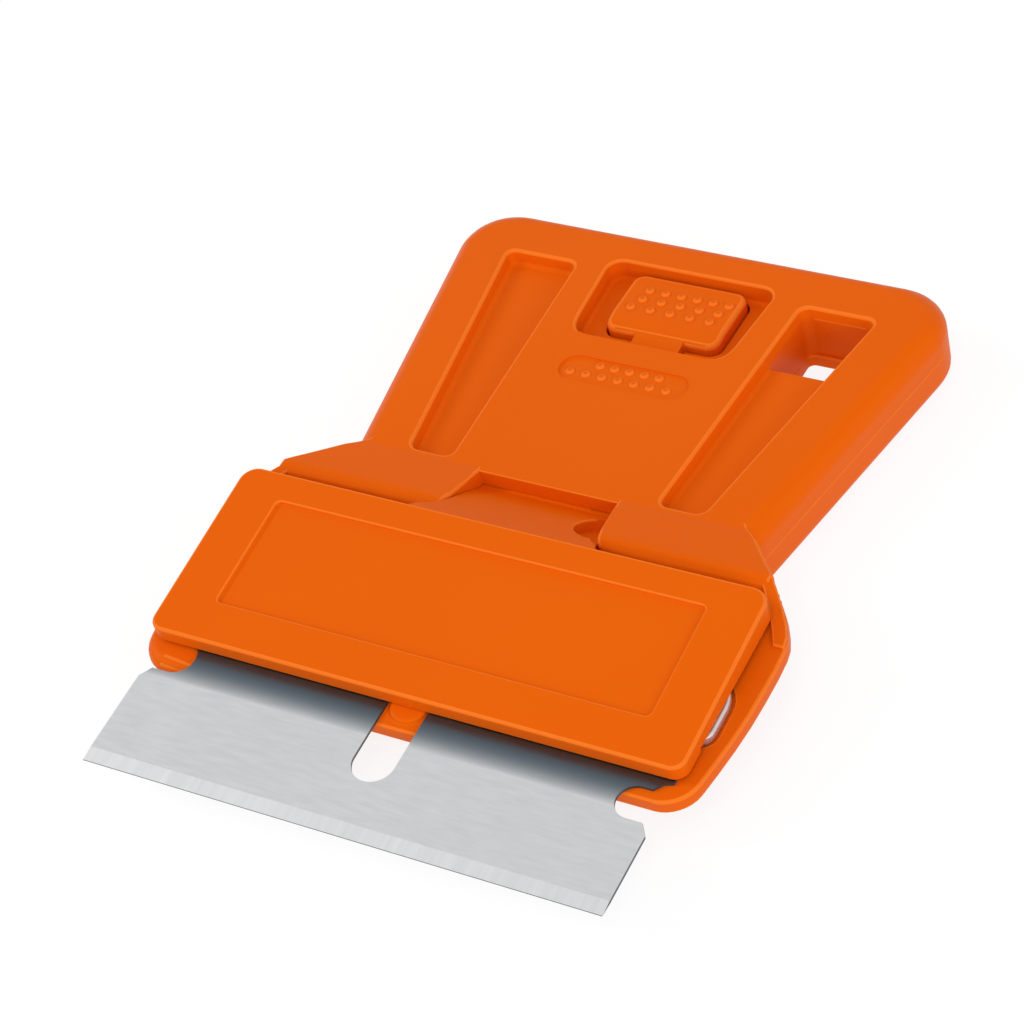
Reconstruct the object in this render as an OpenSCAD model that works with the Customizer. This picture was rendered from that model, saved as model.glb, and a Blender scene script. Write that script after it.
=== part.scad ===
/* [Overall] */
// Length from the cutting edge to the back of the handle
overall_l = 57; // [55:0.5:62]
// Height of the cutting edge above the flat underside
edge_h = 3.1; // [2.9:0.1:3.6]
// Slope of the blade down towards its cutting edge, in degrees
blade_tilt = 4.9; // [4.5:0.1:5.5]

/* [Handle] */
// Distance from the cutting edge to the front of the grip
grip_y = 30.5; // [30.3:0.1:31]
// Width of the grip at its front
grip_w_front = 31.6; // [29:0.2:34]
// Width of the grip at its back
grip_w_back = 40.4; // [38:0.2:44]
// Thickness of the handle
handle_t = 5.2; // [5:0.1:5.6]
// Radius of the back corners
corner_r = 5; // [3:0.5:7]
// Rounding of the upper edge
rim_r = 1.5; // [0.8:0.1:2]
// Rounding of the lower edge
sole_r = 0.8; // [0.4:0.1:1.2]
// Wall thickness of the shells
wall = 1.2; // [0.9:0.1:1.5]
// Thickness of the lower shell's floor
floor_t = 1; // [0.8:0.05:1.05]
// Thickness of the middle panel
panel_t = 1; // [0.8:0.05:1.1]
// Height of the seam between the shells
seam_h = 2.6; // [2.3:0.1:2.8]
// Width of the space under the middle panel
cavity_w = 14; // [13.6:0.1:14.4]
// Distance from that space to the back of the handle
cavity_back = 2.8; // [2:0.1:3.2]

/* [Pockets] */
// Distance between the pockets at their front
pocket_gap_front = 15.4; // [15:0.1:16]
// Distance between the pockets at their back
pocket_gap_back = 17.4; // [17:0.1:18]
// Width of the rim beside each pocket
pocket_rim = 4; // [3.4:0.1:4.6]
// Distance from the pockets to the back of the handle
pocket_back = 4.2; // [3.6:0.1:4.8]
// Distance from the front of the grip to the pockets
pocket_front = 0.3; // [0.2:0.05:0.8]
// Depth of each pocket
pocket_d = 1.1; // [0.8:0.05:1.3]
// Thickness of the pocket's floor
pocket_floor_t = 1.1; // [0.8:0.05:1.2]
// Length of the open end of the right pocket
well_l = 6.1; // [5.6:0.1:7]
// Wall around the open end of the right pocket
well_wall = 0.7; // [0.5:0.1:0.8]
// Side of the square hang hole
hang_w = 4.4; // [4:0.1:4.8]

/* [Window] */
// Distance from the window to the back of the handle
window_back = 3.5; // [3.1:0.1:3.7]
// Length of the window
window_l = 8.1; // [8:0.1:8.6]
// Width of the window at its back
window_w_back = 13.5; // [12.5:0.1:13.5]
// Width of the window at its front
window_w_front = 11.6; // [10.6:0.1:12]
// Depth of the recess around the release button
window_d = 1.1; // [1:0.05:1.2]
// Thickness of the ledge that is the recess's floor
ledge_t = 0.6; // [0.5:0.05:0.8]
// Centre of the oblong recess, from the window
oblong_y = 3.4; // [3:0.1:4]
// Length of the oblong recess
oblong_l = 10.1; // [9:0.1:11]
// Width of the oblong recess
oblong_w = 2.6; // [2.2:0.1:3]
// Depth of the oblong recess
oblong_d = 0.2; // [0.1:0.05:0.4]
// Radius of a grip dot
dot_r = 0.33; // [0.25:0.01:0.4]
// Height of a grip dot
dot_h = 0.15; // [0.1:0.05:0.2]
// Spacing of the rows of grip dots
dot_row = 1; // [0.9:0.05:1.05]
// Length of the rows of dots on the button
dot_span = 6.3; // [5.6:0.1:7]

/* [Collar] */
// Distance from the cutting edge to the front of the collar
collar_y = 26.8; // [26.6:0.1:27.2]
// Width of the collar at its front
collar_w = 37.8; // [37:0.2:39.4]
// Height of the collar at its front
collar_h = 6; // [5.7:0.1:6.3]
// Height of the collar at its back
collar_h_back = 5.45; // [5.3:0.05:5.7]
// Radius of the collar's ends
collar_r = 1.2; // [0.6:0.1:2]
// Width of the notch at its front
notch_w_front = 11.8; // [11.2:0.1:12.6]
// Width of the notch at its back
notch_w_back = 10.6; // [10.5:0.1:11]
// Length of the notch
notch_l = 3.4; // [3.3:0.05:3.6]
// Distance from the cutting edge to the trunnions
pivot_y = 28.6; // [28.4:0.1:28.8]
// Height of the trunnions
pivot_h = 3.1; // [3:0.05:3.2]

/* [Jaw] */
// Distance from the cutting edge to the front of the lower jaw
jaw_y = 8.7; // [8:0.1:9.2]
// Width of the lower jaw at its front
jaw_w_front = 41.2; // [40.4:0.2:43]
// Width of the lower jaw at its widest
jaw_w = 43.8; // [43:0.2:46]
// Distance from the cutting edge to the widest place
jaw_wide_y = 20.5; // [19:0.5:22]
// Radius of the jaw's front corners
jaw_r = 2; // [1:0.2:3]
// Thickness of the lower jaw under the blade
jaw_t = 1.2; // [1.1:0.05:1.6]
// Height above the jaw's underside where the heel and the shoulders run into it
web_t = 0.6; // [0.5:0.05:0.8]
// Distance from the cutting edge to the start of the ramp below
ramp_y = 23.5; // [22.5:0.5:24]
// Length of the flat between the ramp and the grip
ramp_flat = 1; // [0.5:0.1:1.5]
// Width of the heel under the jaw
heel_w = 29; // [26:0.5:30]
// Distance from the cutting edge to the heel's flat underside
heel_y = 21.5; // [20.5:0.5:23]
// Length of the slope in front of the heel
heel_slope = 4; // [3:0.5:5]
// Height of the cheeks at their front
cheek_h_front = 5; // [4.9:0.05:5.1]
// Distance from the cutting edge to the front of the cheeks
cheek_y = 22; // [21:0.5:23]
// Width of the nub in the blade's slot
nub_w = 2.4; // [2:0.1:2.6]
// Length of the nub
nub_l = 2.6; // [2:0.1:2.8]
// Distance from the cutting edge to the nub
nub_y = 9.4; // [9.2:0.1:10]

/* [Clamp] */
// Distance from the cutting edge to the front of the clamp
clamp_y = 10.4; // [10:0.1:10.8]
// Length of the clamp
clamp_l = 14.3; // [13.9:0.1:14.6]
// Width of the clamp
clamp_w = 40.6; // [40.4:0.1:40.9]
// Height of the clamp above the blade at its front
clamp_h_front = 1.3; // [1.2:0.05:1.5]
// Height of the clamp above the blade at its back
clamp_h_back = 2.1; // [1.9:0.05:2.3]
// Distance from the lip that presses on the blade to the blade's spine
lip_gap = 0.5; // [0.3:0.05:0.8]
// Height of the space over the blade's spine
spine_room = 0.65; // [0.55:0.05:0.7]
// Height of the side walls' lower edge above the blade
wall_low = 0.34; // [0.3:0.01:0.4]
// Side walls of the clamp
clamp_wall = 0.5; // [0.4:0.05:0.55]
// Radius of the clamp's back corners
clamp_r = 1.6; // [0.8:0.1:2.4]
// Length of the recessed panel
recess_l = 8.85; // [8:0.1:9]
// Width of the recessed panel
recess_w = 33; // [30:0.5:35]
// Depth of the recessed panel
recess_d = 0.3; // [0.2:0.05:0.4]
// Distance from the front of the clamp to the recessed panel
recess_y = 3.2; // [3:0.1:3.8]
// Width of the tongue
tongue_w = 10; // [9.4:0.1:10]
// Radius of the bite in the tongue's right side
bite_r = 1.85; // [1.4:0.05:2]
// Depth of that bite
bite_d = 1.1; // [0.8:0.05:1.2]
// Radius of the boss around the trunnions
boss_r = 1.3; // [1.15:0.05:1.4]
// Radius of the trunnions
trunnion_r = 0.9; // [0.7:0.05:1]
// Length of each trunnion
trunnion_l = 1.3; // [1:0.1:1.6]
// Height of the tail's underside
tail_h = 2.9; // [2.85:0.05:3]
// Thickness of the tail
tail_t = 1.05; // [0.9:0.05:1.1]
// Width of the tail
tail_w = 6.4; // [5:0.2:8]
// Clearance between pieces that move
play = 0.1; // [0.08:0.01:0.12]

/* [Button] */
// Width of the button
button_w = 9.1; // [8.6:0.1:9.4]
// Length of the button
button_l = 5.8; // [5.6:0.1:5.8]
// Distance from the button to the back of the window
button_gap = 0.35; // [0.3:0.05:0.4]
// Drop of the button below the middle panel
button_drop = 0.6; // [0.4:0.05:0.7]
// Radius of the button's corners
button_r = 0.8; // [0.5:0.1:1.2]
// Length of the button's front slope
button_slope_l = 1.6; // [1.2:0.1:1.8]
// Fall of the button's front slope
button_slope_d = 0.3; // [0.2:0.05:0.35]
// Width of the neck
neck_w = 3.8; // [3:0.1:4.4]

/* [Blade] */
// Length of the blade along its edge
blade_w = 39; // [38.6:0.1:39.2]
// Depth of the blade from edge to back
blade_d = 19; // [18.8:0.1:19.2]
// Thickness of the blade
blade_t = 0.23; // [0.2:0.01:0.25]
// Width of the ground edge
grind_w = 1.1; // [0.8:0.1:1.4]
// Width of the middle slot
slot_w = 3.1; // [3:0.1:3.4]
// Distance from the cutting edge to the slot
slot_y = 4.3; // [3.8:0.1:4.8]
// Distance from the cutting edge to the side notches
side_notch_y = 8.2; // [7.8:0.1:8.4]
// Width of each side notch
side_notch_w = 2.5; // [2.1:0.1:2.8]
// Depth of each side notch
side_notch_d = 3.05; // [2.6:0.05:3.3]
// Widening at the mouth of a side notch
mouth_w = 0.9; // [0.6:0.05:1]
// Depth of that widening
mouth_d = 0.7; // [0.5:0.05:0.9]
// Length of the spine strip along the blade
spine_w = 41; // [39:0.2:41]
// Radius of the spine strip's back corners
spine_r = 1.7; // [1:0.1:2]
// Depth of the spine strip
spine_d = 5.5; // [5:0.1:5.7]
// Thickness of the spine strip's steel
spine_t = 0.24; // [0.2:0.01:0.25]

/* [Hidden] */
cut_over = 2;
sliver = 0.05;
arc_n = 10;
curve_n = 8;
$fn = 48;
half_share = 1 / 2;
// Shares of the rim's rounding: inset from the side, drop from the top
rim_shares = [[0, 1], [0.3, 0.3], [1, 0]];
// Shares of the tongue: length behind the clamp, height above the tail
tongue_top_shares = [[0, 1], [0.25, 0.93], [0.48, 0.7], [0.72, 0.42], [0.9, 0.15], [1, 0]];
tongue_low_shares = [[0.85, -0.32], [0.6, -0.2], [0.46, 0.23], [0.3, 0.48], [0, 0.56]];
// Shares of the clamp's section: length, height
clamp_top_shares = [[0, 0.6], [0.03, 0.96], [0.9, 1], [0.97, 0.97], [1, 0.86]];
// Rows of dots on the button: number, place in rows from the middle one
button_dots = [[5, -1], [5, 0], [6, 1]];
// Rows of dots in the oblong recess: number, share of its length, place in rows from the middle
oblong_dots = [[7, 0.74, -0.4], [5, 0.46, 0.6]];
button_dot_share = 0.54;
// Shares of the shoulder's plan between the jaw and the grip: half width, length
shoulder_shares = [[1, 0], [0.93, 0.18], [0.66, 0.48], [0.5, 0.62], [0, 1]];

half_l = overall_l * half_share;
edge_y = -half_l;
front_hw = grip_w_front * half_share;
back_hw = grip_w_back * half_share;
grip_l = overall_l - grip_y;
side_a = atan((back_hw - front_hw) / grip_l);
pocket_y1 = overall_l - pocket_back;
pocket_y0 = grip_y + pocket_front;
pocket_l = pocket_y1 - pocket_y0;
well_y0 = pocket_y1 - well_l;
pocket_z = handle_t - pocket_d;
pocket_low = pocket_z - pocket_floor_t;
window_y1 = overall_l - window_back;
window_y0 = window_y1 - window_l;
oblong_c = window_y0 - oblong_y;
panel_low = handle_t - panel_t;
ledge_z = handle_t - window_d;
ledge_low = ledge_z - ledge_t;
notch_y1 = collar_y + notch_l;
collar_hw = collar_w * half_share;
bore_r = trunnion_r + play;
bore_l = tongue_w + 2 * trunnion_l + 4 * play;
bed_z = -blade_t;
jaw_y1 = collar_y - 2 * play;
jaw_low = bed_z - jaw_t;
web_z = jaw_low + web_t;
blade_hw = blade_w * half_share;
notch_hw = side_notch_w * half_share;
notch_in = blade_hw - side_notch_d + notch_hw;
groove_hw = spine_w * half_share + play;
groove_y0 = blade_d - spine_d - 2 * play;
groove_y1 = blade_d + 2 * play;
groove_z = bed_z - spine_t - play * half_share;
clamp_y1 = clamp_y + clamp_l;
clamp_low = play * half_share;
lip_y1 = blade_d - spine_d - lip_gap;
tail_top = tail_h + tail_t;
tongue_y = clamp_y1 - play * 5;
tongue_z = edge_h + clamp_y1 * sin(blade_tilt) + clamp_h_back * cos(blade_tilt);
tongue_l = notch_y1 - 2 * play - tongue_y;
tongue_rise = tongue_z - tail_top;
button_y1 = window_y1 - button_gap;
button_y0 = button_y1 - button_l;
button_z = handle_t - button_drop;
button_dot_y = button_y0 + button_l * button_dot_share;
neck_y0 = window_y0 - play * half_share;
tail_y1 = neck_y0 - play;
peg_r = trunnion_r + play;
peg_y0 = pocket_y0 + corner_r;
peg_y1 = well_y0 + hang_w;
peg_x = (pocket_gap_front + grip_w_front) * half_share * half_share;

function arc(c, r, a0, a1) = [
  for (i = [0 : arc_n])
    let (a = a0 + (a1 - a0) * i / arc_n)
    [c[0] + r * cos(a), c[1] + r * sin(a)]
];
function flip(p) = [for (i = [len(p) - 1 : -1 : 0]) [-p[i][0], p[i][1]]];
function both(p) = concat(p, flip(p));
function grip_hw(y) = front_hw + (y - grip_y) * tan(side_a);
function tilted(y, z) = [
  y * cos(blade_tilt) - z * sin(blade_tilt),
  edge_h + y * sin(blade_tilt) + z * cos(blade_tilt)
];
function gap_hw(y) =
  (pocket_gap_front + (pocket_gap_back - pocket_gap_front) * (y - pocket_y0) / pocket_l) * half_share;
hang_x = (gap_hw(well_y0) + grip_hw(well_y0) - pocket_rim) * half_share;
function jaw_hw(y) =
  (jaw_w - (jaw_w - jaw_w_front) * pow((jaw_wide_y - y) / (jaw_wide_y - jaw_y), 2)) * half_share;

// Outline of the grip, drawn in from its sides and back
function grip_outline(inset) =
  let (cy = overall_l - corner_r)
  let (cx = grip_hw(cy) - corner_r / cos(side_a))
  both(concat(
    [[front_hw - inset / cos(side_a), grip_y]],
    arc([cx, cy], corner_r - inset, -side_a, 90)
  ));
// Half width of the shoulders between the jaw and the grip
function shoulder_hw(y) = lookup(y, [for (s = shoulder_shares) [
  cheek_y + (grip_y - cheek_y) * s[1],
  front_hw + (jaw_w * half_share - front_hw) * s[0]
]]);
// Outline of the lower jaw, drawn in from its sides
function jaw_outline(inset) =
  let (cy = jaw_y + jaw_r)
  let (cx = jaw_hw(cy) - inset - jaw_r)
  both(concat(
    arc([cx, cy], jaw_r, -90, 0),
    [for (i = [1 : curve_n])
      let (y = cy + (jaw_wide_y - cy) * i / curve_n)
      [jaw_hw(y) - inset, y]],
    [for (i = [0 : curve_n])
      let (y = cheek_y + (jaw_y1 - cheek_y) * i / curve_n)
      [shoulder_hw(y) - inset, y]]
  ));
// Outline of the shoulders, drawn in from their sides
function shoulder_outline(inset) =
  both([for (i = [0 : curve_n])
    let (y = cheek_y + (grip_y - cheek_y) * i / curve_n)
    [shoulder_hw(y) - inset, y]
  ]);

module in_handle() translate([0, edge_y, 0]) children();
module on_blade() translate([0, edge_y, edge_h]) rotate([blade_tilt, 0, 0]) children();
module across(w) rotate([90, 0, 90]) linear_extrude(w, center = true) children();
module slab(z0, z1) translate([0, 0, z0]) linear_extrude(z1 - z0) children();
module rod(y, z, r, l) translate([0, y, z]) rotate([0, 90, 0]) cylinder(r = r, h = l, center = true);

// Section of a rounded edge at a side that faces along the section's first axis
function edge_section(flat_z, end_z, r) =
  let (s = sign(end_z - flat_z))
  concat(
    [[0, flat_z]],
    [for (k = rim_shares) [-r * k[0], end_z - s * r * k[1]]],
    [[-overall_l, end_z], [-overall_l, flat_z]]
  );
// Rounded body of one half of the grip
module grip_body(flat_z, end_z, r) intersection() {
  slab(min(flat_z, end_z), max(flat_z, end_z)) polygon(grip_outline(0));
  round_side(flat_z, end_z, r);
  mirror([1, 0, 0]) round_side(flat_z, end_z, r);
}
// Rounding along the right side, round its back corner and to the back
module round_side(flat_z, end_z, r) intersection() {
  round_prism(0, flat_z, end_z, r);
  round_prism(1, flat_z, end_z, r);
  round_prism(2, flat_z, end_z, r);
  round_prism(3, flat_z, end_z, r);
  round_prism(4, flat_z, end_z, r);
}
// Prism that rounds the edge at one turn of the right back corner
module round_prism(turn, flat_z, end_z, r) {
  a = -side_a + (90 + side_a) * turn / 4;
  cy = overall_l - corner_r;
  cx = grip_hw(cy) - corner_r / cos(side_a);
  translate([cx + corner_r * cos(a), cy + corner_r * sin(a), 0]) rotate([0, 0, a])
    rotate([90, 0, 0]) linear_extrude(2 * overall_l, center = true) polygon(edge_section(flat_z, end_z, r));
}
// Plan of a pocket on the right side, from one distance to another
module pocket_plan(y0, y1, grow) {
  polygon([
    [gap_hw(y0) - grow, y0 - grow], [grip_hw(y0) - pocket_rim + grow, y0 - grow],
    [grip_hw(y1) - pocket_rim + grow, y1 + grow], [gap_hw(y1) - grow, y1 + grow]
  ]);
}
// Half bearings for the clamp's trunnions
module bearing() rod(pivot_y, pivot_h, bore_r, bore_l);

module lower_shell() color("OrangeRed") difference() {
  union() {
    in_handle() difference() {
      grip_body(seam_h, 0, sole_r);
      slab(floor_t, seam_h + cut_over) intersection() {
        polygon(grip_outline(wall));
        translate([-back_hw, grip_y + wall]) square([grip_w_back, grip_l]);
      }
    }
    in_handle() intersection() {
      slab(0, collar_h) polygon(shoulder_outline(play));
      across(jaw_w) polygon([
        tilted(ramp_y, jaw_low), [grip_y - ramp_flat, 0], [grip_y, 0], [grip_y, pivot_h],
        [collar_y, pivot_h], tilted(jaw_y1 - play, web_z), tilted(ramp_y, web_z)
      ]);
    }
    in_handle() across(heel_w) polygon([
      tilted(heel_y - heel_slope, jaw_low), [heel_y, 0], [grip_y, 0], [grip_y, seam_h],
      [collar_y, seam_h], tilted(ramp_y, web_z - play), tilted(heel_y - heel_slope, web_z - play)
    ]);
    on_blade() {
      slab(jaw_low, bed_z) polygon(jaw_outline(0));
      slab(bed_z - sliver, -play * half_share)
        translate([-nub_w * half_share, nub_y]) square([nub_w, nub_l]);
    }
    in_handle() for (p = [[-peg_x, peg_y0], [peg_x, peg_y0], [-peg_x - wall, peg_y1]]) translate(p)
      translate([0, 0, floor_t - sliver]) cylinder(r = peg_r, h = pocket_low - floor_t);
  }
  on_blade() slab(groove_z, cut_over)
    translate([-groove_hw, groove_y0]) square([2 * groove_hw, groove_y1 - groove_y0]);
  in_handle() {
    across(notch_w_back) polygon([
      [collar_y - wall * half_share, collar_h + cut_over], [collar_y - wall * half_share, pivot_h + wall],
      [pivot_y - wall, floor_t + wall * half_share], [grip_y, floor_t],
      [grip_y + wall + sliver, floor_t], [grip_y + wall + sliver, collar_h + cut_over]
    ]);
    bearing();
    translate([hang_x, pocket_y1 - well_l * half_share, 0])
      cube([hang_w, hang_w, handle_t], center = true);
  }
}

module upper_shell() color("Orange") {
  upper_body();
  in_handle() for (k = oblong_dots) translate([0, oblong_c + dot_row * k[2], handle_t - oblong_d])
    dot_line(k[0], oblong_l * k[1]);
}
// Upper shell without its grip dots
module upper_body() difference() {
  union() {
    in_handle() difference() {
      grip_body(seam_h, handle_t, rim_r);
      slab(0, pocket_low) intersection() {
        polygon(grip_outline(wall));
        translate([-back_hw, grip_y + wall]) square([grip_w_back, grip_l]);
      }
    }
    in_handle() intersection() {
      slab(0, collar_h) difference() {
        polygon(shoulder_outline(2 * play));
        polygon(both([
          [clamp_w * half_share - clamp_wall, 0], [clamp_w * half_share - clamp_wall, clamp_y1 - clamp_r],
          [collar_hw - 2 * collar_r, collar_y], [collar_hw - 2 * collar_r, grip_y]
        ]));
      }
      across(jaw_w) polygon([
        tilted(cheek_y, bed_z + play), tilted(jaw_y1, bed_z + play), [collar_y + play, pivot_h + play],
        [collar_y + collar_r, pivot_h + play], [collar_y + collar_r, collar_h_back],
        [collar_y, collar_h - play], [cheek_y, cheek_h_front]
      ]);
    }
    in_handle() {
      intersection() {
        slab(pivot_h, collar_h) polygon(both(concat(
          arc([collar_hw - collar_r, collar_y + collar_r], collar_r, -90, 0),
          [[front_hw, grip_y], [front_hw - rim_r, grip_y + wall]]
        )));
        across(jaw_w) polygon([
          [collar_y, pivot_h], [grip_y + wall, pivot_h], [grip_y + wall, handle_t - rim_r],
          [grip_y + wall * half_share, handle_t], [notch_y1, collar_h_back], [collar_y, collar_h]
        ]);
      }
      slab(floor_t, pocket_z - sliver) pocket_plan(well_y0, pocket_y1, well_wall);
      for (p = [[-peg_x, peg_y0], [peg_x, peg_y0], [-peg_x - wall, peg_y1]]) translate(p)
        translate([0, 0, seam_h - wall * half_share])
          cylinder(r = peg_r + wall, h = pocket_low - seam_h + wall);
    }
  }
  in_handle() {
    slab(pocket_z, handle_t + cut_over) {
      pocket_plan(pocket_y0, pocket_y1, 0);
      mirror([1, 0]) pocket_plan(pocket_y0, pocket_y1, 0);
    }
    slab(0, handle_t) pocket_plan(well_y0, pocket_y1, 0);
    slab(0, panel_low) translate([-cavity_w * half_share, notch_y1 - sliver])
      square([cavity_w, window_y0 - notch_y1 + sliver]);
    slab(0, ledge_low) translate([-cavity_w * half_share, window_y0 - sliver])
      square([cavity_w, overall_l - cavity_back - window_y0]);
    slab(ledge_z, handle_t + cut_over) polygon(both([
      [window_w_front * half_share, window_y0],
      [window_w_back * half_share, window_y1]
    ]));
    slab(0, handle_t) {
      translate([-button_w * half_share - button_gap, button_y0 - button_gap])
        square([button_w + 2 * button_gap, button_l + 2 * button_gap]);
      translate([-neck_w * half_share - button_gap, window_y0 - sliver])
        square([neck_w + 2 * button_gap, button_y0 - window_y0]);
    }
    slab(0, handle_t + cut_over) polygon(both([
      [notch_w_front * half_share, collar_y - cut_over], [notch_w_front * half_share, collar_y],
      [notch_w_back * half_share, notch_y1]
    ]));
    slab(handle_t - oblong_d, handle_t + cut_over) {
      translate([-(oblong_l - oblong_w) * half_share, oblong_c - oblong_w * half_share])
        square([oblong_l - oblong_w, oblong_w]);
      for (s = [-1, 1]) translate([s * (oblong_l - oblong_w) * half_share, oblong_c])
        circle(d = oblong_w);
    }
    bearing();
    for (p = [[-peg_x, peg_y0], [peg_x, peg_y0], [-peg_x - wall, peg_y1]]) translate(p)
      cylinder(r = peg_r + play, h = pocket_low + play * half_share);
  }
}

// One row of raised grip dots
module dot_line(n, span) for (i = [0 : n - 1]) translate([(i / (n - 1) - half_share) * span, 0, -sliver])
  cylinder(r = dot_r, h = dot_h + sliver);

module blade_clamp() color("DarkOrange") difference() {
  union() {
    on_blade() difference() {
      intersection() {
        slab(0, clamp_h_back) polygon(both(concat(
          arc([clamp_w * half_share - collar_r, clamp_y + collar_r], collar_r, -90, 0),
          arc([clamp_w * half_share - clamp_r, clamp_y1 - clamp_r], clamp_r, 0, 90)
        )));
        across(clamp_w) polygon(concat(
          [for (s = clamp_top_shares) [
            clamp_y + clamp_l * s[0],
            (clamp_h_front + (clamp_h_back - clamp_h_front) * s[0]) * s[1]
          ]],
          [[clamp_y1, clamp_low], [clamp_y, clamp_low]]
        ));
      }
      slab(-cut_over, spine_room) translate([clamp_wall - clamp_w * half_share, lip_y1])
        square([clamp_w - 2 * clamp_wall, clamp_l]);
      slab(-cut_over, wall_low) translate([-clamp_w, lip_y1]) square([2 * clamp_w, clamp_l]);
      translate([0, clamp_y, clamp_h_front])
        rotate([atan((clamp_h_back - clamp_h_front) / clamp_l), 0, 0])
        slab(-recess_d, cut_over) translate([-recess_w * half_share, recess_y]) square([recess_w, recess_l]);
    }
    in_handle() {
      across(tongue_w) polygon(concat(
        [for (s = tongue_top_shares) [tongue_y + tongue_l * s[0], tail_top + tongue_rise * s[1]]],
        [[notch_y1, tail_top], [notch_y1, tail_h]],
        [for (s = tongue_low_shares) [tongue_y + tongue_l * s[0], tail_top + tongue_rise * s[1]]]
      ));
      rod(pivot_y, pivot_h, boss_r, tongue_w);
      rod(pivot_y, pivot_h, trunnion_r, tongue_w + 2 * trunnion_l);
      slab(tail_h, tail_top) polygon(both([
        [tail_w * half_share, pivot_y], [tail_w * half_share, tail_y1 - neck_w],
        [neck_w * half_share, tail_y1 - wall], [neck_w * half_share, tail_y1]
      ]));
    }
  }
  in_handle() slab(pivot_h + boss_r, tongue_z + cut_over)
    translate([tongue_w * half_share + bite_r - bite_d, pivot_y - trunnion_r]) circle(r = bite_r);
}

module release_button() color("Gold") in_handle() {
  intersection() {
    slab(tail_h, button_z) polygon(both(concat(
      arc([button_w * half_share - button_r, button_y0 + button_r], button_r, -90, 0),
      arc([button_w * half_share - button_r, button_y1 - button_r], button_r, 0, 90)
    )));
    across(button_w) polygon([
      [button_y0, tail_h], [button_y1, tail_h], [button_y1, button_z],
      [button_y0 + button_slope_l, button_z], [button_y0, button_z - button_slope_d]
    ]);
  }
  across(neck_w) polygon([
    [neck_y0, tail_h], [button_y0 + sliver, tail_h], [button_y0 + sliver, button_z - button_slope_d],
    [neck_y0, tail_top]
  ]);
  for (k = button_dots) translate([0, button_dot_y + dot_row * k[1], button_z]) dot_line(k[0], dot_span);
}

module razor_blade() color("Silver") on_blade() intersection() {
  slab(-blade_t, 0) difference() {
    translate([-blade_w * half_share, 0]) square([blade_w, blade_d - spine_t]);
    translate([0, slot_y + slot_w * half_share]) circle(d = slot_w);
    translate([-slot_w * half_share, slot_y + slot_w * half_share])
      square([slot_w, blade_d - spine_d - slot_y]);
    for (s = [-1, 1]) {
      translate([s * notch_in, side_notch_y]) circle(d = side_notch_w);
      polygon([
        [s * notch_in, side_notch_y - notch_hw], [s * (blade_hw - mouth_d), side_notch_y - notch_hw],
        [s * (blade_hw + play), side_notch_y - notch_hw - mouth_w],
        [s * (blade_hw + play), side_notch_y + notch_hw + mouth_w],
        [s * (blade_hw - mouth_d), side_notch_y + notch_hw], [s * notch_in, side_notch_y + notch_hw]
      ]);
    }
  }
  across(blade_w) polygon([
    [0, -blade_t * half_share], [grind_w, 0], [blade_d, 0], [blade_d, -blade_t], [grind_w, -blade_t]
  ]);
}

module blade_spine() color("LightSlateGray") on_blade() intersection() {
  across(spine_w) polygon([
    [blade_d - spine_d, 0], [blade_d - spine_d, spine_t], [blade_d, spine_t], [blade_d, -blade_t - spine_t],
    [blade_d - spine_d, -blade_t - spine_t], [blade_d - spine_d, -blade_t], [blade_d - spine_t, -blade_t],
    [blade_d - spine_t, 0]
  ]);
  slab(-blade_t - spine_t - cut_over, spine_t + cut_over) polygon(both(concat(
    [[spine_w * half_share, blade_d - spine_d]],
    arc([spine_w * half_share - spine_r, blade_d - spine_r], spine_r, 0, 90)
  )));
}

lower_shell();
upper_shell();
blade_clamp();
release_button();
razor_blade();
blade_spine();
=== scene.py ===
import bpy
import bmesh
import math
from mathutils import Matrix, Vector


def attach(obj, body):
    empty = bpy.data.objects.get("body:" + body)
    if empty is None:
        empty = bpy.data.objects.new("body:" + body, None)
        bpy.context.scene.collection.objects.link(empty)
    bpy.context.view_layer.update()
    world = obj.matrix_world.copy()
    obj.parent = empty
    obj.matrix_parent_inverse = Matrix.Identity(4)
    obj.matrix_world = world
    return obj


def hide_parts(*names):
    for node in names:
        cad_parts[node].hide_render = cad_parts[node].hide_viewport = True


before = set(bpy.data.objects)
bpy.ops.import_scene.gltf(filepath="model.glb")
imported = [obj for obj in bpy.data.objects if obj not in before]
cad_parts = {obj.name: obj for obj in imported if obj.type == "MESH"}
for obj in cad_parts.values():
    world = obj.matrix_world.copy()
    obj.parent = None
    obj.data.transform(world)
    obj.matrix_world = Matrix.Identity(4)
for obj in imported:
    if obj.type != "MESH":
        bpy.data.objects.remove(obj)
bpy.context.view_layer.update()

# Lower shell: the bottom half of the flat grip with the lower jaw in front of it.
# One moulding of orange ABS. The blade lies on the jaw, with its spine in a groove and its slot
# over a nub, and pegs inside the grip hold the shell to the upper one.
MM = 0.001
TOUCH = 1e-3
EDGE_Y = -28.5
EDGE_Z = 3.1
TILT = math.radians(4.9)
GRIP = (15.8, 20.2, 30.5, 57)
GRIP_CORNER = 5
GRIP_INSIDE = (14.7, 18.8, 31.7, 55.8)
INSIDE_CORNER = 3.8
INSIDE_LOW = 1
SPLIT_Z = 2.6
SHOULDER_TOP = 5.5
WEB_DROP = 0.9
PIVOT = (0, 28.6, 3.1)
BEARING_RADIUS = 1
BEARING_LENGTH = 13
BARREL_STEPS = 48
BLADE_THICK = 0.23
JAW_LOW = -1.43
JAW_BACK = 26.5
GROOVE_FLOOR = -0.53
SPINE_BACK_RADIUS = 2.6
SPINE_FRONT_RADIUS = 1.1
CHANNEL_HALF = 5.75
CHANNEL_FRONT = 26.2
CUT_TOP = 8
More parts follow.
